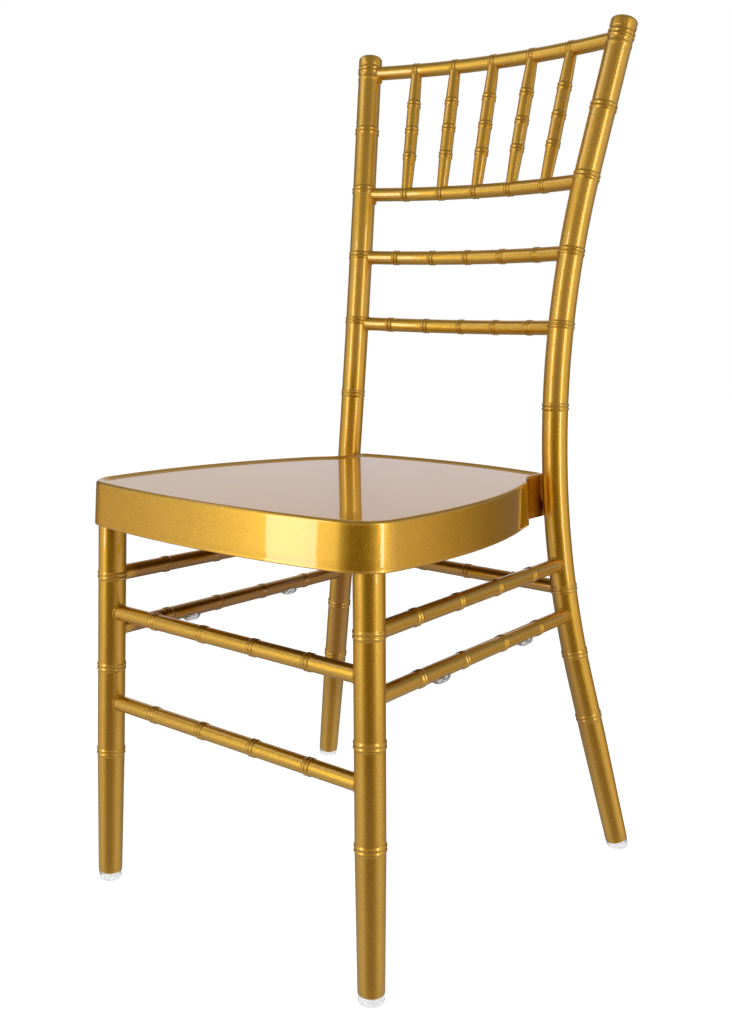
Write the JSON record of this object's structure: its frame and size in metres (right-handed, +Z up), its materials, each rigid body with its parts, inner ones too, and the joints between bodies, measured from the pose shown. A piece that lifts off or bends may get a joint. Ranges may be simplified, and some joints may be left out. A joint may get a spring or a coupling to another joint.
{
  "type": "chiavari_chair",
  "caption": "chiavari chair in gold painted steel tube with bamboo rings, a short spindle back, bowed rails and a pressed sheet seat",
  "frame": {"origin": "on the floor under the middle of the chair's box", "axes": "+Z up, +X to the right as seen from the front, +Y to the back; the sitter faces -Y"},
  "size_m": [0.4616, 0.4885, 0.9234],
  "materials": {
    "gold_paint": "glossy metallic gold paint with a fine flake",
    "clear_plastic": "clear moulded plastic"
  },
  "bodies": {
    "root": {"crest_rail": "gold_paint", "front_glides": "clear_plastic", "front_leg_left": "gold_paint", "front_leg_right": "gold_paint", "front_stretcher_lower": "gold_paint", "front_stretcher_upper": "gold_paint", "lower_rail": "gold_paint", "rear_glides": "clear_plastic", "rear_post_left": "gold_paint", "rear_post_right": "gold_paint", "rear_stretcher": "gold_paint", "seat_brace_front": "gold_paint", "seat_brace_rear": "gold_paint", "seat_pan": "gold_paint", "seat_welds": "gold_paint", "side_stretcher_lower_left": "gold_paint", "side_stretcher_lower_right": "gold_paint", "side_stretcher_upper_left": "gold_paint", "side_stretcher_upper_right": "gold_paint", "spindle_1": "gold_paint", "spindle_2": "gold_paint", "spindle_3": "gold_paint", "spindle_4": "gold_paint", "spindle_5": "gold_paint", "spindle_rail": "gold_paint", "stacking_bumper_front_left": "clear_plastic", "stacking_bumper_front_right": "clear_plastic", "stacking_bumper_rear_left": "clear_plastic", "stacking_bumper_rear_right": "clear_plastic", "upper_rail": "gold_paint"}
  },
  "joints": []
}
